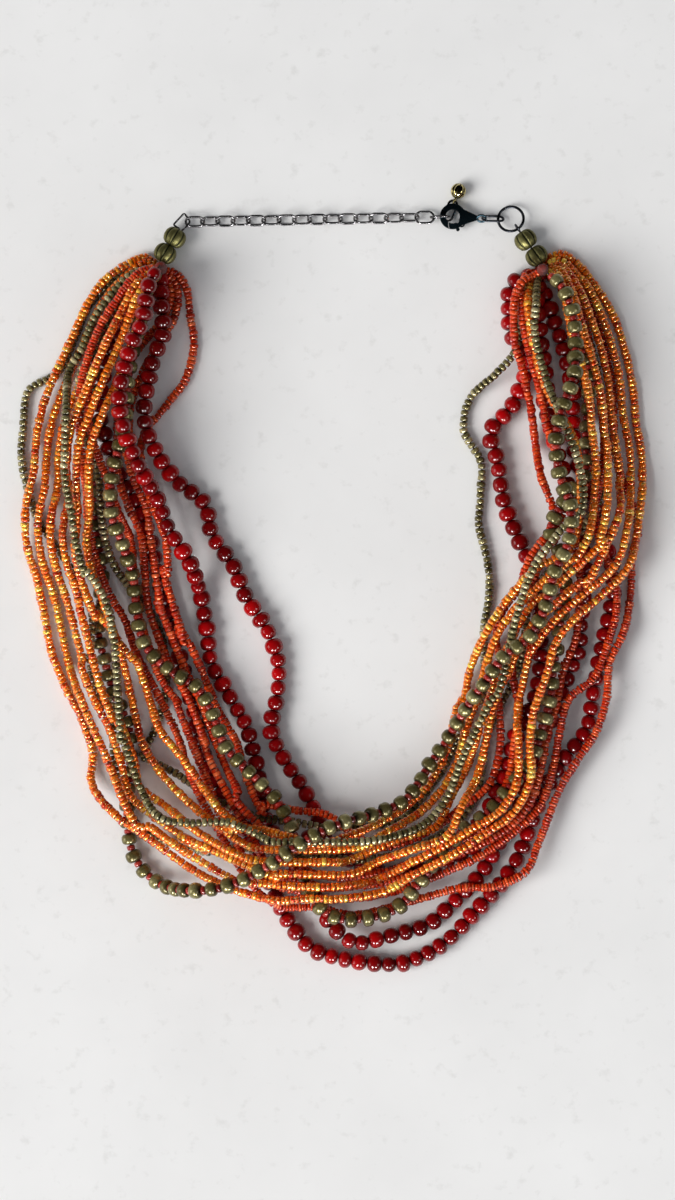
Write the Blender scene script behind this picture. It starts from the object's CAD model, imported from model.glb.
import logging
import math
from dataclasses import dataclass, field
from enum import Enum
from typing import Any, Sequence

import bmesh
import bpy
import numpy as np
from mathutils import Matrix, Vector


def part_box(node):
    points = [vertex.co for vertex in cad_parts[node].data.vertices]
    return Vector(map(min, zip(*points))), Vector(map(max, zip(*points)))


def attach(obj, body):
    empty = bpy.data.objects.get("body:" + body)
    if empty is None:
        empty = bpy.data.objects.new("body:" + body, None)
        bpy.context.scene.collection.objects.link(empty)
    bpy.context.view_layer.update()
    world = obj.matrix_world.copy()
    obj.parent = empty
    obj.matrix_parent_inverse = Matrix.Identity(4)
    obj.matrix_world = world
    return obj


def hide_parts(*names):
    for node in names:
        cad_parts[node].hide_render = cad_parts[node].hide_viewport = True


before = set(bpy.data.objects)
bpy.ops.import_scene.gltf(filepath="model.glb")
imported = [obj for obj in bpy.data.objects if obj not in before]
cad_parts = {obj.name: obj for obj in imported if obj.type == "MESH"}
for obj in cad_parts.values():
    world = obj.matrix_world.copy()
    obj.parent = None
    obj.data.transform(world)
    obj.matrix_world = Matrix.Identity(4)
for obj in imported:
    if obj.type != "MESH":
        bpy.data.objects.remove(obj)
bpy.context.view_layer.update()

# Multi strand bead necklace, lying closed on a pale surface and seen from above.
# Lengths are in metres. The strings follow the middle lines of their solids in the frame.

log = logging.getLogger("necklace")

MM = 0.001
UP = np.array([0.0, 0.0, 1.0])
BODY = "necklace"
Colour = tuple[float, float, float]


# Shader maths

class Signal:
    """One value in a material, which adds a Math node for each sum that it takes part in."""

    def __init__(self, graph: "Graph", socket: Any) -> None:
        """Wraps an output socket.

        Args:
            graph: the material's nodes.
            socket: the output socket that carries the value.
        """
        self.graph = graph
        self.socket = socket

    def _sum(self, operation: str, first: Any, second: Any) -> "Signal":
        """One Math node.

        Args:
            operation: the node's operation.
            first: a Signal or a number.
            second: a Signal or a number.

        Returns:
            The node's value.
        """
        node = self.graph.node("ShaderNodeMath", {"operation": operation}, {0: first, 1: second})
        return Signal(self.graph, node.outputs[0])

    def __add__(self, other: Any) -> "Signal":
        """Self plus other."""
        return self._sum("ADD", self, other)

    def __radd__(self, other: Any) -> "Signal":
        """Other plus self."""
        return self._sum("ADD", other, self)

    def __sub__(self, other: Any) -> "Signal":
        """Self minus other."""
        return self._sum("SUBTRACT", self, other)

    def __rsub__(self, other: Any) -> "Signal":
        """Other minus self."""
        return self._sum("SUBTRACT", other, self)

    def __mul__(self, other: Any) -> "Signal":
        """Self times other."""
        return self._sum("MULTIPLY", self, other)

    def __rmul__(self, other: Any) -> "Signal":
        """Other times self."""
        return self._sum("MULTIPLY", other, self)

    def __pow__(self, other: Any) -> "Signal":
        """Self to the power of other."""
        return self._sum("POWER", self, other)

    def size(self) -> "Signal":
        """Self without its sign."""
        return self._sum("ABSOLUTE", self, 0.0)

    def held(self) -> "Signal":
        """Self kept from 0 to 1."""
        node = self.graph.node("ShaderNodeClamp", {}, {0: self})
        return Signal(self.graph, node.outputs[0])


class Graph:
    """The nodes of one material, around its Principled shader."""

    def __init__(self, name: str) -> None:
        """Makes an empty material with one Principled shader.

        Args:
            name: the material's name.
        """
        self.material = bpy.data.materials.new(name)
        self.material.use_nodes = True
        self.tree = self.material.node_tree
        self.shader = self.tree.nodes["Principled BSDF"]

    def node(self, kind: str, settings: dict[str, Any], sockets: dict[Any, Any]) -> Any:
        """Adds a node, sets it up and feeds it.

        Args:
            kind: the node's type.
            settings: its own properties, set first; "stops" gives place and colour of a ramp's stops.
            sockets: input name or number to a Signal, a socket, a number or a colour.

        Returns:
            The node.
        """
        made = self.tree.nodes.new(kind)
        for key, value in settings.items():
            if key == "stops":
                self.stops(made.color_ramp.elements, value)
            else:
                setattr(made, key, value)
        for key, value in sockets.items():
            self.feed(made.inputs[key], value)
        return made

    @staticmethod
    def stops(band: Any, wanted: Sequence[tuple[float, Colour]]) -> None:
        """Sets a ramp's stops.

        Args:
            band: the ramp's own stops.
            wanted: place and colour of each stop.
        """
        while len(band) < len(wanted):
            band.new(0.5)
        for element, (at, colour) in zip(band, wanted):
            element.position = at
            element.color = (*colour, 1.0)

    def feed(self, socket: Any, value: Any) -> None:
        """Links or sets one input socket.

        Args:
            socket: the input.
            value: a Signal, a socket, a number or a colour.
        """
        source = value.socket if isinstance(value, Signal) else value
        if isinstance(source, bpy.types.NodeSocket):
            self.tree.links.new(source, socket)
        elif isinstance(source, tuple) and socket.type == "RGBA":
            socket.default_value = (*source, 1.0)
        else:
            socket.default_value = source

    def attribute(self, name: str) -> Signal:
        """A value that the mesh carries for each corner."""
        node = self.node("ShaderNodeAttribute", {"attribute_name": name}, {})
        return Signal(self, node.outputs["Fac"])

    def noise(self, scale: float, detail: float = 2.0, rough: float = 0.5) -> Signal:
        """Soft noise over the piece.

        Args:
            scale: how many waves there are in a metre.
            detail: its octaves.
            rough: the weight of the finer octaves.

        Returns:
            The noise, from 0 to 1.
        """
        place = self.node("ShaderNodeTexCoord", {}, {}).outputs["Object"]
        sockets = {"Vector": place, "Scale": scale, "Detail": detail, "Roughness": rough}
        return Signal(self, self.node("ShaderNodeTexNoise", {}, sockets).outputs[0])

    def ramp(self, factor: Any, stops: Sequence[tuple[float, Colour]]) -> Any:
        """A colour ramp.

        Args:
            factor: the Signal that is looked up.
            stops: place and colour of each stop.

        Returns:
            The colour socket.
        """
        return self.node("ShaderNodeValToRGB", {"stops": stops}, {0: factor}).outputs[0]

    def mix(self, factor: Any, first: Any, second: Any) -> Any:
        """A blend of two colours.

        Args:
            factor: share of the second colour.
            first: a colour or its socket.
            second: a colour or its socket.

        Returns:
            The colour socket.
        """
        return self.node("ShaderNodeMix", {"data_type": "RGBA"}, {0: factor, 6: first, 7: second}).outputs[2]

    def relief(self, height: Signal, strength: float, depth: float) -> None:
        """Puts small relief on the surface.

        Args:
            height: the relief, from 0 to 1.
            strength: how much of it shows.
            depth: its depth in metres.
        """
        sockets = {"Height": height, "Strength": strength, "Distance": depth}
        node = self.node("ShaderNodeBump", {}, sockets)
        self.feed(self.shader.inputs["Normal"], node.outputs[0])

    def finish(self, sockets: dict[str, Any]) -> Any:
        """Feeds the shader.

        Args:
            sockets: input name to value.

        Returns:
            The material.
        """
        for key, value in sockets.items():
            self.feed(self.shader.inputs[key], value)
        return self.material


# Finishes

# A fleck is where the noise passes the edge, and the slope says how sharp its rim is
FLECK_EDGE = 0.60
FLECK_SLOPE = 12.0
FLECK_METALLIC = 0.8


@dataclass(frozen=True)
class BeadFinish:
    """Glass or painted beads, each of its own shade.

    The mesh gives each bead a tone from 0 to 1 and each corner its place along the bead, from -1 to 1.
    Grains and flecks are counted by the metre, and the depth of the grain is in metres.
    """

    name: str
    shades: tuple[tuple[float, Colour], ...]
    ends: Colour
    end_share: float
    roughness: float
    metallic: float
    coat: float
    grain: float
    grain_depth: float
    spread: float = 0.35
    mottle: float = 0.25
    specular: float = 0.3
    coat_roughness: float = 0.05
    fleck: Colour = (1.0, 0.60, 0.22)
    fleck_share: float = 0.0
    fleck_scale: float = 1500.0

    def material(self) -> Any:
        """Builds the material: shade by bead, darker ends by the bore, fine grain and bright flecks."""
        graph = Graph(self.name)
        tone = graph.attribute("tone")
        along = graph.attribute("along").size()
        cloud = graph.noise(self.grain, detail=3.0, rough=0.6)
        shade = graph.ramp(tone + (cloud - 0.5) * self.mottle, self.shades)
        colour = graph.mix((along ** 4.0) * self.end_share, shade, self.ends)
        shine: Any = self.metallic
        if self.fleck_share:
            spots = ((graph.noise(self.fleck_scale, detail=0.0) - FLECK_EDGE) * FLECK_SLOPE).held()
            fleck = spots * self.fleck_share
            colour = graph.mix(fleck, colour, self.fleck)
            shine = self.metallic + fleck * (FLECK_METALLIC - self.metallic)
        graph.relief(graph.noise(self.grain * 1.7), strength=0.6, depth=self.grain_depth)
        return graph.finish({
            "Base Color": colour,
            "Roughness": self.roughness + (cloud - 0.5) * self.spread,
            "Metallic": shine,
            "Specular IOR Level": self.specular,
            "Coat Weight": self.coat,
            "Coat Roughness": self.coat_roughness,
        })


@dataclass(frozen=True)
class MetalFinish:
    """Aged metal with dark hollows and rubbed, brighter places."""

    name: str
    dark: Colour
    bright: Colour
    roughness: float
    scale: float
    metallic: float = 1.0
    depth: float = 0.00004
    hollows: bool = False

    def material(self) -> Any:
        """Builds the material: patches of tarnish over the metal, which are also duller."""
        graph = Graph(self.name)
        wear = graph.noise(self.scale, detail=4.0, rough=0.65)
        if self.hollows:
            wear = wear * 0.5 + graph.attribute("tone") * 0.6
        colour = graph.ramp(wear, ((0.3, self.dark), (0.68, self.bright)))
        graph.relief(graph.noise(self.scale * 3.0), strength=0.5, depth=self.depth)
        return graph.finish({
            "Base Color": colour,
            "Roughness": self.roughness + (0.5 - wear) * 0.3,
            "Metallic": self.metallic,
        })


RED_GLASS = BeadFinish(
    "red_glass",
    shades=((0.0, (0.12, 0.0004, 0.001)), (0.5, (0.24, 0.0005, 0.0015)), (1.0, (0.46, 0.001, 0.002))),
    ends=(0.05, 0.0003, 0.001), end_share=0.8, roughness=0.30, metallic=0.0, coat=0.70, grain=700.0,
    grain_depth=0.00003, spread=0.10, mottle=0.30, specular=0.06, coat_roughness=0.12)
OLIVE_LUSTRE = BeadFinish(
    "olive_lustre",
    shades=((0.0, (0.090, 0.070, 0.020)), (0.5, (0.155, 0.130, 0.044)), (1.0, (0.27, 0.235, 0.10))),
    ends=(0.022, 0.015, 0.006), end_share=0.9, roughness=0.30, metallic=0.45, coat=0.25, grain=1400.0,
    grain_depth=0.00004)
ROSY_SPACER = BeadFinish(
    "rosy_spacer",
    shades=((0.0, (0.15, 0.006, 0.005)), (0.6, (0.34, 0.020, 0.014)), (1.0, (0.48, 0.060, 0.040))),
    ends=(0.06, 0.004, 0.003), end_share=0.7, roughness=0.28, metallic=0.1, coat=0.4, grain=1500.0,
    grain_depth=0.00003)
OLIVE_SEED = BeadFinish(
    "olive_seed",
    shades=((0.0, (0.080, 0.064, 0.018)), (0.5, (0.21, 0.178, 0.070)), (1.0, (0.58, 0.50, 0.27))),
    ends=(0.006, 0.005, 0.002), end_share=1.0, roughness=0.26, metallic=0.4, coat=0.5, grain=1800.0,
    grain_depth=0.00004, spread=0.35, mottle=0.55)
GOLD_LINED = BeadFinish(
    "gold_lined",
    shades=((0.0, (0.40, 0.010, 0.001)), (0.20, (0.72, 0.060, 0.001)), (0.50, (0.92, 0.20, 0.002)),
            (0.72, (0.88, 0.15, 0.014)), (0.86, (0.98, 0.40, 0.010)), (1.0, (1.0, 0.66, 0.10))),
    ends=(0.50, 0.018, 0.001), end_share=0.50, roughness=0.24, metallic=0.40, coat=0.6, grain=2600.0,
    grain_depth=0.00012, spread=0.25, mottle=1.15, specular=0.2,
    fleck=(1.0, 0.70, 0.24), fleck_share=1.0, fleck_scale=2300.0)
CORAL_GLASS = BeadFinish(
    "coral_glass",
    shades=((0.0, (0.26, 0.004, 0.001)), (0.45, (0.52, 0.022, 0.002)), (0.8, (0.70, 0.060, 0.006)),
            (1.0, (0.84, 0.15, 0.045))),
    ends=(0.18, 0.003, 0.001), end_share=0.7, roughness=0.26, metallic=0.05, coat=0.35, grain=2200.0,
    grain_depth=0.00006, spread=0.25, mottle=0.50, specular=0.12,
    fleck=(1.0, 0.32, 0.14), fleck_share=0.45, fleck_scale=1900.0)
BEADING_THREAD = MetalFinish(
    "beading_thread", dark=(0.02, 0.010, 0.008), bright=(0.09, 0.030, 0.02), roughness=0.8, scale=900.0,
    metallic=0.0)
BUNDLE_THREAD = MetalFinish(
    "bundle_thread", dark=(0.07, 0.004, 0.002), bright=(0.22, 0.016, 0.006), roughness=0.75, scale=900.0,
    metallic=0.0)
GUNMETAL = MetalFinish(
    "gunmetal", dark=(0.035, 0.035, 0.038), bright=(0.26, 0.25, 0.255), roughness=0.24, scale=300.0)
DARK_RING = MetalFinish(
    "dark_ring", dark=(0.012, 0.014, 0.018), bright=(0.06, 0.065, 0.075), roughness=0.30, scale=300.0)
BLUED_CLASP = MetalFinish(
    "blued_clasp", dark=(0.008, 0.018, 0.028), bright=(0.06, 0.11, 0.14), roughness=0.30, scale=420.0)
AGED_BRASS = MetalFinish(
    "aged_brass", dark=(0.024, 0.026, 0.010), bright=(0.16, 0.148, 0.052), roughness=0.58, scale=500.0,
    metallic=0.80, depth=0.00005, hollows=True)
BALL_BRASS = MetalFinish(
    "ball_brass", dark=(0.02, 0.015, 0.006), bright=(0.55, 0.46, 0.20), roughness=0.22, scale=700.0,
    hollows=True)


# Surfaces as whole arrays

@dataclass
class Shell:
    """A surface: its corners, its faces in arrays of one size each, and values that the corners carry."""

    corners: np.ndarray
    faces: list[np.ndarray]
    tone: np.ndarray
    along: np.ndarray
    finish: list[int] = field(default_factory=list)

    @staticmethod
    def fused(shells: Sequence["Shell"], finishes: Sequence[int]) -> "Shell":
        """Puts shells into one surface.

        Args:
            shells: the shells.
            finishes: the number of the material of each.

        Returns:
            One shell with all of them.
        """
        starts = np.cumsum([0] + [len(s.corners) for s in shells])
        faces = [f + start for s, start in zip(shells, starts) for f in s.faces]
        finish = [number for s, number in zip(shells, finishes) for _ in s.faces]
        return Shell(
            np.vstack([s.corners for s in shells]),
            faces,
            np.concatenate([s.tone for s in shells]),
            np.concatenate([s.along for s in shells]),
            finish,
        )


def unit(v: np.ndarray) -> np.ndarray:
    """Vectors of length 1 in the same directions."""
    return v / np.maximum(np.linalg.norm(v, axis=-1, keepdims=True), 1e-12)


def corners_of(node: str) -> np.ndarray:
    """Lowest and highest corner of a solid's box."""
    return np.array([list(corner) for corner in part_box(node)])


def middle_of(node: str) -> np.ndarray:
    """Middle of a solid's box."""
    return corners_of(node).mean(0)


def grid_faces(rows: int, sides: int, copies: int, closed: bool) -> list[np.ndarray]:
    """Faces of tubes whose corners run ring by ring.

    Args:
        rows: rings of one tube.
        sides: corners of one ring.
        copies: how many tubes there are.
        closed: whether the last ring joins the first; otherwise a face closes each end.

    Returns:
        The wall's quads, and the end faces where the tube is open.
    """
    this = np.arange(rows if closed else rows - 1)[:, None]
    side = np.arange(sides)[None, :]
    below, above = this * sides, (this + 1) % rows * sides
    turn = (side + 1) % sides
    wall = np.stack([below + side, below + turn, above + turn, above + side], -1).reshape(-1, 4)
    base = np.arange(copies)[:, None] * rows * sides
    faces = [(wall[None] + base[..., None]).reshape(-1, 4)]
    if not closed:
        ring = np.arange(sides)
        faces.append(base + ring[::-1][None])
        faces.append(base + (rows - 1) * sides + ring[None])
    return faces


def sweep(path: np.ndarray, radius: Any, sides: int, level: np.ndarray = UP, closed: bool = False) -> Shell:
    """A tube: a circle carried along a path.

    A corner is the path's point plus the radius times (cosine times side plus sine times up), where
    side is level crossed with the way ahead and up is the way ahead crossed with side.

    Args:
        path: the middle line, point by point.
        radius: one radius, or one for each point.
        sides: corners of a ring.
        level: a direction that the path never takes; for a flat path, its normal.
        closed: whether the path is a loop.

    Returns:
        The tube.
    """
    if closed:
        ahead = np.roll(path, -1, 0) - np.roll(path, 1, 0)
    else:
        ahead = np.gradient(path, axis=0)
    ahead = unit(ahead)
    side = unit(np.cross(level, ahead))
    up = np.cross(ahead, side)
    angle = np.arange(sides) * 2 * math.pi / sides
    reach = np.broadcast_to(np.asarray(radius, float), (len(path),))[:, None, None]
    ring = np.cos(angle)[None, :, None] * side[:, None] + np.sin(angle)[None, :, None] * up[:, None]
    corners = (path[:, None] + reach * ring).reshape(-1, 3)
    tone = np.full(len(corners), 0.5)
    return Shell(corners, grid_faces(len(path), sides, 1, closed), tone, np.zeros(len(corners)))


def threaded(
    profile: np.ndarray, middles: np.ndarray, ways: np.ndarray, radii: np.ndarray,
    lengths: np.ndarray, tones: np.ndarray, turns: np.ndarray, ovals: np.ndarray, sides: int,
) -> Shell:
    """Beads on a thread, all at once.

    A corner is the bead's middle, plus its way times half its length times the profile's height, plus
    its radius times the profile's width times (cosine times side times oval plus sine times up).

    Args:
        profile: width and height of each ring of one bead, as shares of radius and half length.
        middles: middle of each bead.
        ways: direction of each bore.
        radii: radius of each bead.
        lengths: length of each bead.
        tones: shade of each bead, from 0 to 1.
        turns: turn of each bead round its bore.
        ovals: share by which each bead is wider one way.
        sides: corners of a ring.

    Returns:
        The beads.
    """
    side = unit(np.cross(UP, ways))
    up = np.cross(ways, side)
    angle = turns[:, None] + np.arange(sides)[None] * 2 * math.pi / sides
    across = np.cos(angle)[..., None] * side[:, None] * ovals[:, None, None]
    across = across + np.sin(angle)[..., None] * up[:, None]
    wide = radii[:, None] * profile[None, :, 0]
    high = lengths[:, None] / 2 * profile[None, :, 1]
    corners = middles[:, None, None] + wide[:, :, None, None] * across[:, None]
    corners = corners + (high[..., None] * ways[:, None])[:, :, None]
    count = len(profile) * sides
    along = np.broadcast_to(profile[None, :, 1, None], (len(middles), len(profile), sides))
    return Shell(
        corners.reshape(-1, 3),
        grid_faces(len(profile), sides, len(middles), False),
        np.repeat(tones, count),
        along.reshape(-1).copy(),
    )


# The bore's rim lies inward of the bead's end, as shares of the bore and of the half length
RIM_WIDTH = 0.8
RIM_HEIGHT = 0.86


def rounded_profile(rows: int, bore: float, square: float) -> np.ndarray:
    """Profile of a rounded bead.

    The height runs as the sine and the width as the cosine of an angle from end to end, both drawn
    out toward a square by a power, and the width starts from the bore.

    Args:
        rows: rings from end to end.
        bore: share of the radius that the bore takes.
        square: 1 for a round side, less for a squarer one.

    Returns:
        Width and height of each ring.
    """
    a = np.linspace(-1, 1, rows) * math.pi / 2
    wide = bore + (1 - bore) * np.abs(np.cos(a)) ** square
    high = np.sign(np.sin(a)) * np.abs(np.sin(a)) ** square
    first, last = ([[bore * RIM_WIDTH, end * RIM_HEIGHT]] for end in (high[0], high[-1]))
    return np.vstack([first, np.column_stack([wide, high]), last])


def show(name: str, shell: Shell, materials: Sequence[Any], nodes: Sequence[str]) -> None:
    """Makes the object of a piece, with its place in its mesh, and ties it to the frame.

    Args:
        name: the piece's name.
        shell: its surface.
        materials: its materials, in the order that the shell's numbers mean.
        nodes: the solids that it stands for.
    """
    mesh = bpy.data.meshes.new(name)
    mesh.vertices.add(len(shell.corners))
    mesh.vertices.foreach_set("co", shell.corners.astype(np.float32).ravel())
    totals = np.concatenate([np.full(len(f), f.shape[1]) for f in shell.faces])
    loops = np.concatenate([f.ravel() for f in shell.faces])
    mesh.loops.add(len(loops))
    mesh.loops.foreach_set("vertex_index", loops.astype(np.int32))
    mesh.polygons.add(len(totals))
    mesh.polygons.foreach_set("loop_start", (np.cumsum(totals) - totals).astype(np.int32))
    mesh.polygons.foreach_set("loop_total", totals.astype(np.int32))
    if shell.finish:
        numbers = np.concatenate([np.full(len(f), n) for f, n in zip(shell.faces, shell.finish)])
        mesh.polygons.foreach_set("material_index", numbers.astype(np.int32))
    mesh.polygons.foreach_set("use_smooth", np.ones(len(totals), bool))
    for key, values in (("tone", shell.tone), ("along", shell.along)):
        layer = mesh.attributes.new(key, "FLOAT", "POINT")
        layer.data.foreach_set("value", values.astype(np.float32))
    mesh.update(calc_edges=True)
    mesh.validate()
    for material in materials:
        mesh.materials.append(material)
    piece = bpy.data.objects.new(name, mesh)
    bpy.context.scene.collection.objects.link(piece)
    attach(piece, BODY)
    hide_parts(*nodes)
    log.info("%s: %d corners, %d faces", name, len(shell.corners), len(totals))


# Strings

MERGE = 0.02 * MM


@dataclass
class Route:
    """The middle line of a string, dense and smooth in plan."""

    points: np.ndarray
    length: np.ndarray

    @staticmethod
    def rings(node: str, sides: int, start: np.ndarray) -> np.ndarray:
        """Reads the middles of a tube's rings off its solid, from the end at start.

        A merged copy of the mesh gives the edges; each ring is what the ring before it has edges to.

        Args:
            node: the tube's node.
            sides: corners of a ring.
            start: the point that the first ring is nearest to.

        Returns:
            The middles, in order.
        """
        copy = bmesh.new()
        copy.from_mesh(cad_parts[node].data)
        bmesh.ops.remove_doubles(copy, verts=copy.verts, dist=MERGE)
        copy.verts.index_update()
        corners = np.array([v.co for v in copy.verts])
        edges = np.array([[v.index for v in e.verts] for e in copy.edges])
        copy.free()
        first = corners[np.argmin(np.linalg.norm((corners - start)[:, :2], axis=1))]
        near = np.argsort(np.linalg.norm(corners - first, axis=1))[:sides]
        ring = np.zeros(len(corners), bool)
        ring[near] = True
        seen = np.zeros(len(corners), bool)
        middles = []
        while ring.any():
            middles.append(corners[ring].mean(0))
            seen |= ring
            touched = np.zeros(len(corners), bool)
            touched[edges[ring[edges[:, 0]], 1]] = True
            touched[edges[ring[edges[:, 1]], 0]] = True
            ring = touched & ~seen
        return np.array(middles)

    @classmethod
    def along(cls, node: str, sides: int, fine: int = 10) -> "Route":
        """The route of a string from the middle of one bundle of threads to the other.

        In plan each stretch is the cubic through its four nearest points. The height runs straight
        between the rings and is then smoothed, so it never dips below them.

        Args:
            node: the string's node.
            sides: corners of its rings.
            fine: points on a stretch.

        Returns:
            The route.
        """
        ends = [middle_of(n) for n in ("knot_left", "knot_right")]
        rings = cls.rings(node, sides, ends[0])
        first = [*ends[0][:2], rings[0][2]]
        last = [*ends[1][:2], rings[-1][2]]
        p = np.vstack([first, rings, last])
        q = np.vstack([2 * p[0] - p[1], p, 2 * p[-1] - p[-2]])
        t = (np.arange(fine) / fine)[None, :, None]
        a, b, c, d = (q[k:len(q) - 3 + k][:, None] for k in range(4))
        bend = (2 * a - 5 * b + 4 * c - d) * t ** 2
        plan = 0.5 * (2 * b + (c - a) * t + bend + (3 * b - a - 3 * c + d) * t ** 3)
        points = np.vstack([plan.reshape(-1, 3), p[-1:]])
        straight = np.concatenate([(b + (c - b) * t)[..., 2].ravel(), p[-1:, 2]])
        kernel = np.hanning(fine + 3)[1:-1]
        padded = np.pad(straight, len(kernel) // 2, mode="edge")
        points[:, 2] = np.convolve(padded, kernel / kernel.sum(), mode="valid")[:len(points)]
        step = np.linalg.norm(np.diff(points, axis=0), axis=1)
        return cls(points, np.concatenate([[0.0], np.cumsum(step)]))

    def at(self, s: np.ndarray) -> np.ndarray:
        """Points at the lengths s."""
        return np.column_stack([np.interp(s, self.length, self.points[:, k]) for k in range(3)])

    def ways(self, s: np.ndarray, reach: float) -> np.ndarray:
        """Directions at the lengths s, taken over the reach on both sides."""
        return unit(self.at(s + reach) - self.at(s - reach))


class Family(Enum):
    """The sorts of beads that the strings are made of."""

    RED = "red_beads"
    OLIVE = "olive_beads"
    SEED = "olive_seeds"
    GOLD = "gold_seeds"
    CORAL = "coral_seeds"


@dataclass(frozen=True)
class BeadKind:
    """The size and shape of one sort of bead.

    Uneven is the share by which its sizes vary, the bore is a share of its radius, and square is as in
    its profile. It wanders off the thread by a length, and leans by a slope.
    """

    diameter: float
    length: float
    gap: float
    uneven: float
    square: float
    wander: float
    lean: float
    rows: int = 5
    sides: int = 9
    bore: float = 0.40


KINDS = {
    Family.RED: BeadKind(
        diameter=4.35 * MM, length=3.6 * MM, gap=0.02 * MM, uneven=0.09, square=0.93,
        wander=0.08 * MM, lean=0.10, rows=11, sides=18, bore=0.22),
    Family.OLIVE: BeadKind(
        diameter=4.0 * MM, length=2.9 * MM, gap=0.03 * MM, uneven=0.07, square=0.74,
        wander=0.08 * MM, lean=0.08, rows=9, sides=16, bore=0.28),
    Family.SEED: BeadKind(
        diameter=2.2 * MM, length=1.31 * MM, gap=0.14 * MM, uneven=0.07, square=0.45,
        wander=0.07 * MM, lean=0.10),
    Family.GOLD: BeadKind(
        diameter=2.2 * MM, length=1.16 * MM, gap=0.03 * MM, uneven=0.10, square=0.30,
        wander=0.09 * MM, lean=0.12),
    Family.CORAL: BeadKind(
        diameter=2.1 * MM, length=1.05 * MM, gap=0.03 * MM, uneven=0.12, square=0.32,
        wander=0.08 * MM, lean=0.10),
}
SPACER = BeadKind(
    diameter=2.25 * MM, length=1.3 * MM, gap=0.03 * MM, uneven=0.08, square=0.55,
    wander=0.05 * MM, lean=0.10)

# A bead's shade is drawn on its own, round a mean that drifts slowly along the string
SHADE_SHAPE = 2.2
DRIFT = 0.18
DRIFT_POINTS = 24
LEAN_SPREAD = 0.6
OVAL = 0.05


@dataclass
class BeadString:
    """One string of beads on its thread.

    The tube that gives its route is its first solid, or the one that is named. Toward both ends its
    beads shrink to the end share, from the full size on.
    """

    name: str
    nodes: tuple[str, ...]
    family: Family
    seed: int
    tube_node: str = ""
    tube_sides: int = 8
    thread_radius: float = 0.22 * MM
    thread_sides: int = 5
    first_bead: float = 1.0 * MM
    full_size: float = 7.0 * MM
    end_share: float = 0.75
    thin: float = 1.0

    def route(self) -> Route:
        """The string's middle line."""
        return Route.along(self.tube_node or self.nodes[0], self.tube_sides)

    def pattern(
        self, total: float, chance: np.random.Generator,
    ) -> list[tuple[BeadKind, np.ndarray, np.ndarray]]:
        """Deals beads out along the thread.

        Args:
            total: length of the thread.
            chance: the source of uneven lengths.

        Returns:
            For each kind of bead, the lengths up to the beads' middles and the beads' lengths.
        """
        kind = KINDS[self.family]
        cycle = [kind, SPACER] if self.family is Family.OLIVE else [kind]
        pitch = sum(k.length * self.thin + k.gap for k in cycle)
        rounds = int((total - 2 * self.first_bead) / pitch)
        slack = (total - 2 * self.first_bead) / (rounds * pitch)
        sizes = np.column_stack([k.length * (1 + k.uneven * chance.uniform(-1, 1, rounds)) for k in cycle])
        sizes = sizes * slack * self.thin
        steps = sizes + np.array([k.gap for k in cycle]) * slack
        ends = self.first_bead + np.cumsum(steps.ravel()).reshape(steps.shape)
        middles = ends - steps / 2
        return [(k, middles[:, i], sizes[:, i]) for i, k in enumerate(cycle)]

    def beads(self, route: Route, chance: np.random.Generator) -> list[Shell]:
        """The beads as shells, one for each kind.

        Args:
            route: the string's middle line.
            chance: the source of what is uneven.

        Returns:
            The shells.
        """
        shells = []
        total = route.length[-1]
        for kind, s, lengths in self.pattern(total, chance):
            n = len(s)
            out = np.minimum(s, total - s)
            grow = self.end_share + (1 - self.end_share) * np.clip(out / self.full_size, 0, 1)
            radii = kind.diameter / 2 * grow * (1 + kind.uneven * chance.uniform(-1, 1, n))
            ways = unit(route.ways(s, lengths.mean() / 2) + kind.lean * chance.normal(0, LEAN_SPREAD, (n, 3)))
            middles = route.at(s) + kind.wander * chance.uniform(-1, 1, (n, 3))
            middles[:, 2] = np.maximum(middles[:, 2], radii + kind.wander)
            drift = chance.uniform(-DRIFT, DRIFT, DRIFT_POINTS)
            slow = np.interp(s, np.linspace(0, total, DRIFT_POINTS), drift)
            tones = np.clip(chance.beta(SHADE_SHAPE, SHADE_SHAPE, n) + slow, 0, 1)
            profile = rounded_profile(kind.rows, kind.bore, kind.square)
            turns = chance.uniform(0, 2 * math.pi, n)
            ovals = 1 + OVAL * chance.uniform(-1, 1, n)
            shells.append(threaded(
                profile, middles, ways, radii, lengths, tones, turns, ovals, kind.sides))
        return shells

    def build(self, dyes: dict[str, Any]) -> None:
        """Makes the string's pieces.

        Args:
            dyes: the materials by name.
        """
        chance = np.random.default_rng(self.seed)
        route = self.route()
        shells = self.beads(route, chance)
        thread = sweep(route.points[::2], self.thread_radius, self.thread_sides)
        paints = [dyes[self.family.value], dyes["spacer"], dyes["thread"]]
        if self.tube_node:
            show(self.name, Shell.fused(shells, [0]), paints[:1], self.nodes[:1])
            show(self.name + "_thread", thread, paints[2:], self.nodes[1:])
        else:
            whole = Shell.fused([*shells, thread], [*range(len(shells)), 2])
            show(self.name, whole, paints, self.nodes)


# Ends, chain and clasp

CENTRE = np.array([0.56, 0.22, 0.0]) * MM


def spot(x: float, y: float, z: float) -> np.ndarray:
    """A point of the source's drawing, given in millimetres, in the frame."""
    return np.array([x, y, z]) * MM - CENTRE


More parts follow.
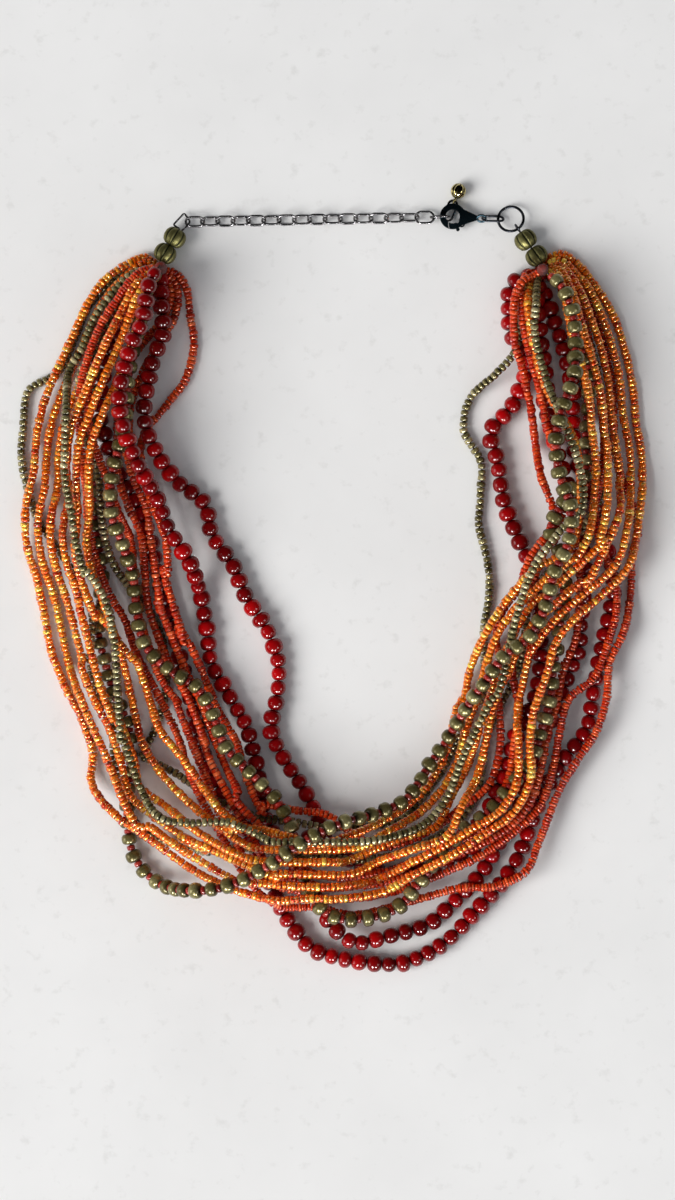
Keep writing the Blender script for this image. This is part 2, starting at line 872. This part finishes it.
def turned(path: np.ndarray, tilt: float, drop: float, turn: float) -> np.ndarray:
    """Turns a path about X, then Y, then Z.

    Args:
        path: the points.
        tilt: degrees about X.
        drop: degrees about Y.
        turn: degrees about Z.

    Returns:
        The points, turned.
    """
    a, b, c = (math.radians(v) for v in (tilt, drop, turn))
    about_x = np.array([[1, 0, 0], [0, math.cos(a), -math.sin(a)], [0, math.sin(a), math.cos(a)]])
    about_y = np.array([[math.cos(b), 0, math.sin(b)], [0, 1, 0], [-math.sin(b), 0, math.cos(b)]])
    about_z = np.array([[math.cos(c), -math.sin(c), 0], [math.sin(c), math.cos(c), 0], [0, 0, 1]])
    return path @ (about_z @ about_y @ about_x).T


@dataclass
class WireLoop:
    """A closed link or ring of round wire, turned in degrees."""

    length: float
    width: float
    wire: float
    middle: np.ndarray
    tilt: float = 0.0
    drop: float = 0.0
    turn: float = 0.0
    bend_points: int = 16
    side_points: int = 6
    wire_sides: int = 10

    def shell(self) -> Shell:
        """Carries the wire round two half circles and the straights between them."""
        r = (self.width - self.wire) / 2
        half = (self.length - self.wire) / 2 - r
        a = np.linspace(-math.pi / 2, math.pi / 2, self.bend_points)
        side = np.column_stack([half + r * np.cos(a), r * np.sin(a), 0 * a])
        if half < MERGE:
            side = side[:-1]
        else:
            share = np.linspace(0, 1, self.side_points)[1:-1, None]
            side = np.vstack([side, side[-1] + share * np.array([-2 * half, 0, 0])])
        path = turned(np.vstack([side, side * [-1, -1, 1]]), self.tilt, self.drop, self.turn)
        level = turned(UP[None], self.tilt, self.drop, self.turn)[0]
        return sweep(path + self.middle, self.wire / 2, self.wire_sides, level, True)


def around(
    middle: np.ndarray, way: np.ndarray, side: np.ndarray, up: np.ndarray,
    heights: np.ndarray, radius: np.ndarray, tone: np.ndarray,
) -> Shell:
    """A closed surface round an axis.

    A corner is the middle plus its height times the way, plus its radius times (cosine times side plus
    sine times up).

    Args:
        middle: the surface's middle.
        way: direction of the axis.
        side: direction in which the angle is 0.
        up: direction in which it is a quarter turn.
        heights: height of each ring over the middle.
        radius: radius of each corner, ring by ring.
        tone: tone of each corner, ring by ring.

    Returns:
        The surface, with its height as a share of the last ring's.
    """
    rows, sides = radius.shape
    angle = np.arange(sides) * 2 * math.pi / sides
    ring = np.cos(angle)[:, None] * side + np.sin(angle)[:, None] * up
    corners = middle + heights[:, None, None] * way + radius[..., None] * ring[None]
    along = np.repeat(heights / heights[-1], sides)
    return Shell(corners.reshape(-1, 3), grid_faces(rows, sides, 1, False), tone.ravel().copy(), along)


@dataclass
class MelonBead:
    """A grooved brass bead, its bore level."""

    node: str
    way: np.ndarray
    diameter: float = 5.7 * MM
    length: float = 4.6 * MM
    rows: int = 21
    sides: int = 96
    bore: float = 0.24
    square: float = 0.8
    lobes: int = 8
    groove: float = 0.14
    groove_power: int = 14
    groove_fade: float = 0.3
    groove_dark: float = 1.2

    def shell(self) -> Shell:
        """A round profile carried round the bore; the radius dips at each groove as a narrow cosine."""
        a = np.linspace(-1, 1, self.rows) * math.pi / 2
        angle = np.arange(self.sides) * 2 * math.pi / self.sides
        dip = np.abs(np.cos(angle * self.lobes / 2))[None] ** self.groove_power
        wide = self.bore + (1 - self.bore) * np.cos(a)[:, None] ** self.square
        depth = self.groove * dip * np.cos(a)[:, None] ** self.groove_fade
        radius = self.diameter / 2 * wide * (1 - depth)
        tone = np.broadcast_to(1 - dip * self.groove_dark, radius.shape)
        side = np.cross(UP, self.way)
        return around(
            middle_of(self.node), self.way, side, UP, np.sin(a) * self.length / 2, radius, tone)


@dataclass
class ThreadBundle:
    """The bundle of threads that the strings start from."""

    node: str
    rows: int = 25
    sides: int = 32
    threads: int = 9
    twist: float = 5.0
    wave: float = 0.06
    dome: float = 0.35
    tip: float = 0.08

    def shell(self) -> Shell:
        """A column whose radius waves with the threads, which turn round it from end to end."""
        low, high = corners_of(self.node)
        a = np.linspace(-1, 1, self.rows) * math.pi / 2
        angle = np.arange(self.sides) * 2 * math.pi / self.sides
        wide = (high - low)[0] / 2 * np.maximum(np.cos(a) ** self.dome, self.tip)
        wave = 1 - self.wave * (1 + np.cos(angle[None] * self.threads + a[:, None] * self.twist))
        radius = wide[:, None] * wave
        heights = np.sin(a) * (high - low)[2] / 2
        across, back = np.eye(3)[:2]
        return around((low + high) / 2, UP, across, back, heights, radius, np.full(radius.shape, 0.5))


def level_way(turn: float) -> np.ndarray:
    """The level direction at a number of degrees from X."""
    return np.array([math.cos(math.radians(turn)), math.sin(math.radians(turn)), 0])


def degrees_of(way: np.ndarray) -> float:
    """The degrees from X to a level direction."""
    return math.degrees(math.atan2(way[1], way[0]))


# The end link lies from here in this direction, and the cut ball hangs on its far end
TAIL_FROM = (29.07, 89.5)
TAIL_TURN = 68.0
TAIL_WAY = level_way(TAIL_TURN)
TAIL_REACH = 5.3 * MM


@dataclass
class ExtenderChain:
    """The chain. A link's box doesn't give its tilt, so the steps are those of the source.

    The links stand tilted to one side and the other in turn, the last three lie as the clasp holds them,
    and the end link comes after them. Heights are in millimetres, as in the source.
    """

    links: int = 16
    wire: float = 0.6 * MM
    length: float = 5.2 * MM
    width: float = 3.6 * MM
    tilt: float = 45.0
    height: float = 1.4
    last_tilts: tuple[float, ...] = (60.0, -15.0, 90.0)
    last_heights: tuple[float, ...] = (1.65, 1.6, 1.82)
    tail_width: float = 2.8 * MM
    tail_height: float = 1.07
    tail_drop: float = 0.11 * MM

    def shell(self) -> Shell:
        """The links in a row, and the end link."""
        first, last = spot(-33.75, 89.15, 0), spot(27.45, 90.3, 0)
        turn = degrees_of(last - first)
        free = self.links + 1 - len(self.last_tilts)
        tilts = [self.tilt if k % 2 == 0 else -self.tilt for k in range(free)] + [*self.last_tilts]
        heights = [self.height] * free + [*self.last_heights]
        shells = []
        for k, (tilt, height) in enumerate(zip(tilts, heights)):
            middle = first + (last - first) * k / self.links + UP * height * MM
            shells.append(WireLoop(self.length, self.width, self.wire, middle, tilt, 0.0, turn).shell())
        middle = spot(*TAIL_FROM, self.tail_height) + TAIL_WAY * TAIL_REACH / 2 - UP * self.tail_drop / 2
        slope = math.degrees(math.asin(self.tail_drop / TAIL_REACH))
        tail = WireLoop(
            TAIL_REACH + self.wire, self.tail_width, self.wire, middle, 0.0, slope, TAIL_TURN)
        shells.append(tail.shell())
        return Shell.fused(shells, [0] * len(shells))


@dataclass
class CutBall:
    """The cut brass ball on the end of the chain, with its eye, whose height and play are in millimetres."""

    radius: float = 1.95 * MM
    rows: int = 15
    sides: int = 48
    cuts: int = 8
    cut: float = 0.10
    cut_power: int = 4
    cut_dark: float = 1.3
    tip: float = 0.12
    play: float = 0.08
    eye_height: float = 0.96
    eye_bore: float = 1.44 * MM
    eye_wire: float = 0.45 * MM

    def shell(self) -> Shell:
        """A ball whose radius dips at each cut, and the eye that joins it to the end link."""
        eye_at = spot(*TAIL_FROM, self.eye_height) + TAIL_WAY * (TAIL_REACH + self.play * MM)
        middle = eye_at + TAIL_WAY * (self.eye_bore / 2 + self.radius - self.eye_wire / 2)
        middle[2] = self.radius
        a = np.linspace(-1, 1, self.rows) * math.pi / 2
        angle = np.arange(self.sides) * 2 * math.pi / self.sides
        dip = np.abs(np.cos(angle * self.cuts / 2))[None] ** self.cut_power
        radius = self.radius * np.maximum(np.cos(a), self.tip)[:, None] * (1 - self.cut * dip)
        tone = np.broadcast_to(1 - self.cut_dark * dip, radius.shape)
        side = np.cross(UP, TAIL_WAY)
        body = around(middle, TAIL_WAY, side, UP, np.sin(a) * self.radius, radius, tone)
        size = self.eye_bore + self.eye_wire
        eye = WireLoop(size, size, self.eye_wire, eye_at, 90.0, 0.0, TAIL_TURN)
        return Shell.fused([body, eye.shell()], [0, 0])


# Corners of the left wire, from inside the lower bead round the loop, in millimetres as in the source
LEFT_WIRE = ((-42.206, 79.257, 2.85), (-37.4, 87.2, 2.85), (-39.1, 88.3, 2.4), (-36.4, 91.3, 1.5),
             (-34.9, 89.2, 1.35), (-36.3, 87.3, 2.1), (-37.1, 86.9, 2.15))
LEFT_BEND = 0.55 * MM


def bent(corners: np.ndarray, start: float, steps: int) -> np.ndarray:
    """Rounds the corners of a wire.

    Each corner becomes the curve t squared, t times 1 - t and 1 - t squared between the points that
    lie the start length before and after it.

    Args:
        corners: the wire's corners.
        start: length at which a bend starts before its corner.
        steps: stretches of a bend.

    Returns:
        The wire's middle line.
    """
    a, c, b = corners[:-2], corners[1:-1], corners[2:]
    p, q = c + start * unit(a - c), c + start * unit(b - c)
    t = np.linspace(0, 1, steps + 1)[None, :, None]
    bends = (1 - t) ** 2 * p[:, None] + 2 * t * (1 - t) * c[:, None] + t ** 2 * q[:, None]
    return np.vstack([corners[:1], bends.reshape(-1, 3), corners[-1:]])


@dataclass
class Fittings:
    """The metal ends: end beads, bundles, wires, extender chain, clasp, oval link and jump ring."""

    wire: float = 0.5 * MM
    eye: float = 1.0 * MM
    bead_end: float = 2.2 * MM
    bead_start: float = 2.15 * MM
    play: float = 0.1 * MM
    ring: float = 7.1 * MM
    ring_wire: float = 0.7 * MM
    ring_drop: float = -15.0
    oval_length: float = 5.9 * MM
    oval_width: float = 3.0 * MM
    oval_wire: float = 0.6 * MM
    oval_tilt: float = -55.0
    oval_slope: float = 0.9 / 5.3

    def build(self, dyes: dict[str, Any]) -> None:
        """Makes the pieces, and gives the clasp, which is shown as its solids are, its finish.

        Args:
            dyes: the materials by name.
        """
        for side in ("left", "right"):
            way = self.bead_way(side)
            for k in (1, 2):
                node = f"melon_{side}_{k}"
                bead = MelonBead(node, way).shell()
                show(f"end_bead_{side}_{k}", bead, [dyes["brass"]], [node])
            node = f"knot_{side}"
            show(f"gather_{side}", ThreadBundle(node).shell(), [dyes["bundle"]], [node])
        show("extender_chain", ExtenderChain().shell(), [dyes["gunmetal"]], ["chain"])
        left = sweep(bent(np.array([spot(*p) for p in LEFT_WIRE]), LEFT_BEND, 6), self.wire / 2, 10)
        show("left_wire", left, [dyes["gunmetal"]], ["wire_loop_left"])
        self.right_end(dyes["ring"])
        show("end_drop", CutBall().shell(), [dyes["ball"]], ["end_ball"])
        for node in ("clasp_body", "clasp_lever"):
            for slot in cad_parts[node].material_slots:
                slot.material = dyes["clasp"]

    def bead_way(self, side: str) -> np.ndarray:
        """Direction from one end bead of a side to the next."""
        return unit(middle_of(f"melon_{side}_2") - middle_of(f"melon_{side}_1"))

    def right_end(self, dye: Any) -> None:
        """The right wire with its upright eye, the jump ring and the oval link.

        Args:
            dye: their material.
        """
        way = self.bead_way("right")
        turn = degrees_of(way)
        lower, upper = middle_of("melon_right_1"), middle_of("melon_right_2")
        out = self.bead_end + self.play + self.wire / 2 + self.eye
        size = 2 * self.eye + self.wire
        eye = WireLoop(size, size, self.wire, upper + way * out, 90.0, 0.0, turn)
        share = np.linspace(0, 1, 5)[:, None]
        stem = share * (upper + way * (out - self.eye)) + (1 - share) * (lower - way * self.bead_start)
        wire = Shell.fused([eye.shell(), sweep(stem, self.wire / 2, 10)], [0, 0])
        show("right_wire", wire, [dye], ["wire_eye_right"])
        ring = WireLoop(
            self.ring, self.ring, self.ring_wire, middle_of("jump_ring"), 0.0, self.ring_drop, turn + 180)
        show("round_ring", ring.shell(), [dye], ["jump_ring"])
        drop = math.degrees(math.asin(self.oval_slope))
        oval = WireLoop(
            self.oval_length, self.oval_width, self.oval_wire, middle_of("oval_link"), self.oval_tilt, drop)
        show("oval_ring", oval.shell(), [dye], ["oval_link"])


# Surface, light and camera

class Use(Enum):
    """What a lamp is for: soft light with no reflection, or reflections alone."""

    SOFT = "soft"
    GLINT = "glint"


@dataclass(frozen=True)
class Lamp:
    """A square area lamp that faces the necklace, with its side in metres and its power in watts."""

    name: str
    place: tuple[float, float, float]
    side: float
    power: float
    use: Use = Use.GLINT
    colour: Colour = (1.0, 1.0, 1.0)

    def build(self) -> None:
        """Makes the lamp, which only its own use shows."""
        data = bpy.data.lights.new(self.name, "AREA")
        data.size = self.side
        data.energy = self.power
        data.color = self.colour
        lamp = bpy.data.objects.new(self.name, data)
        lamp.location = self.place
        lamp.rotation_mode = "QUATERNION"
        lamp.rotation_quaternion = (-Vector(self.place)).to_track_quat("-Z", "Y")
        lamp.visible_camera = False
        lamp.visible_diffuse = self.use is Use.SOFT
        lamp.visible_glossy = self.use is Use.GLINT
        bpy.context.scene.collection.objects.link(lamp)


# A large window on the left with its sheen, a sheen from the right, and two small glints from the front
LAMPS = (
    Lamp("left_window", (-3.8, -1.7, 3.2), 3.2, 325.0, Use.SOFT, (1.0, 0.99, 0.975)),
    Lamp("left_sheen", (-4.2, -0.6, 1.1), 2.2, 60.0),
    Lamp("right_sheen", (2.8, -1.0, 2.2), 1.1, 26.0),
    Lamp("front_glint_left", (-0.30, -0.74, 0.52), 0.20, 13.0),
    Lamp("front_glint_right", (0.26, -0.76, 0.50), 0.18, 7.5),
)


@dataclass
class Studio:
    """The pale surface with faint specks, the lamps, a pale sky and the camera straight above."""

    half: float = 3.0
    cloudy: Colour = (0.80, 0.797, 0.787)
    clear: Colour = (0.86, 0.857, 0.847)
    speck: Colour = (0.70, 0.695, 0.68)
    speck_edge: float = 0.59
    speck_slope: float = 7.0
    speck_share: float = 0.6
    sky: Colour = (0.93, 0.95, 1.0)
    sky_strength: float = 0.32
    view_length: float = 0.300
    view_middle: tuple[float, float] = (0.0013, -0.0055)
    lens: float = 120.0
    sensor: float = 36.0

    def build(self) -> None:
        """Makes the camera, the lights and the surface."""
        self.camera()
        for lamp in LAMPS:
            lamp.build()
        self.air()
        self.surface()

    def surface(self) -> None:
        """The pale surface."""
        graph = Graph("pale_surface")
        cloud = graph.noise(18.0, detail=4.0, rough=0.6)
        spots = (graph.noise(240.0, detail=3.0, rough=0.6) - self.speck_edge) * self.speck_slope
        pale = graph.ramp(cloud, ((0.3, self.cloudy), (0.7, self.clear)))
        colour = graph.mix(spots.held() * self.speck_share, pale, self.speck)
        graph.finish({"Base Color": colour, "Roughness": 0.75})
        mesh = bpy.data.meshes.new("pale_surface")
        h = self.half
        mesh.from_pydata([(-h, -h, 0), (h, -h, 0), (h, h, 0), (-h, h, 0)], [], [(0, 1, 2, 3)])
        mesh.materials.append(graph.material)
        floor = bpy.data.objects.new("pale_surface", mesh)
        bpy.context.scene.collection.objects.link(floor)

    def air(self) -> None:
        """The pale sky, which isn't mirrored, and colours as they are."""
        world = bpy.data.worlds.new("pale_sky")
        world.use_nodes = True
        back = world.node_tree.nodes["Background"]
        back.inputs["Color"].default_value = (*self.sky, 1.0)
        back.inputs["Strength"].default_value = self.sky_strength
        world.cycles_visibility.glossy = False
        bpy.context.scene.world = world
        bpy.context.scene.view_settings.view_transform = "Standard"

    def camera(self) -> None:
        """A long lens straight above, whose picture is as long as the photograph's."""
        data = bpy.data.cameras.new("above")
        data.lens = self.lens
        data.sensor_width = self.sensor
        data.clip_start = 0.01
        data.clip_end = 20.0
        camera = bpy.data.objects.new("above", data)
        height = self.view_length * self.lens / self.sensor
        camera.location = (*self.view_middle, height)
        bpy.context.scene.collection.objects.link(camera)
        bpy.context.scene.camera = camera


# The outermost coral strings are of thinner discs
THIN_DISCS = 0.72
THIN_STRINGS = (1, 2)


def strings() -> list[BeadString]:
    """The nineteen strings, in the order of the source."""
    made = [
        BeadString("red_string_1", ("string_red_1",), Family.RED, 11),
        BeadString(
            "red_string_2", ("beads_red_2", "thread_red_2"), Family.RED, 12,
            tube_node="thread_red_2", tube_sides=5),
        BeadString("red_string_3", ("string_red_3",), Family.RED, 13),
    ]
    for family, word, count, seed in (
            (Family.CORAL, "coral", 5, 20), (Family.GOLD, "gold", 6, 30),
            (Family.SEED, "seed", 3, 40), (Family.OLIVE, "olive", 2, 50)):
        for k in range(1, count + 1):
            thin = THIN_DISCS if family is Family.CORAL and k in THIN_STRINGS else 1.0
            name, node = f"{word}_string_{k}", f"string_{word}_{k}"
            made.append(BeadString(name, (node,), family, seed + k, thin=thin))
    return made


def main() -> None:
    """Builds the necklace, its surface, the lights and the camera, and keeps the sizes."""
    logging.basicConfig(level=logging.INFO, format="%(name)s %(message)s")
    Studio().build()
    dyes = {
        Family.RED.value: RED_GLASS.material(),
        Family.OLIVE.value: OLIVE_LUSTRE.material(),
        Family.SEED.value: OLIVE_SEED.material(),
        Family.GOLD.value: GOLD_LINED.material(),
        Family.CORAL.value: CORAL_GLASS.material(),
        "spacer": ROSY_SPACER.material(),
        "thread": BEADING_THREAD.material(),
        "bundle": BUNDLE_THREAD.material(),
        "gunmetal": GUNMETAL.material(),
        "ring": DARK_RING.material(),
        "clasp": BLUED_CLASP.material(),
        "brass": AGED_BRASS.material(),
        "ball": BALL_BRASS.material(),
    }
    for string in strings():
        string.build(dyes)
    Fittings().build(dyes)


if __name__ == "__main__":
    main()
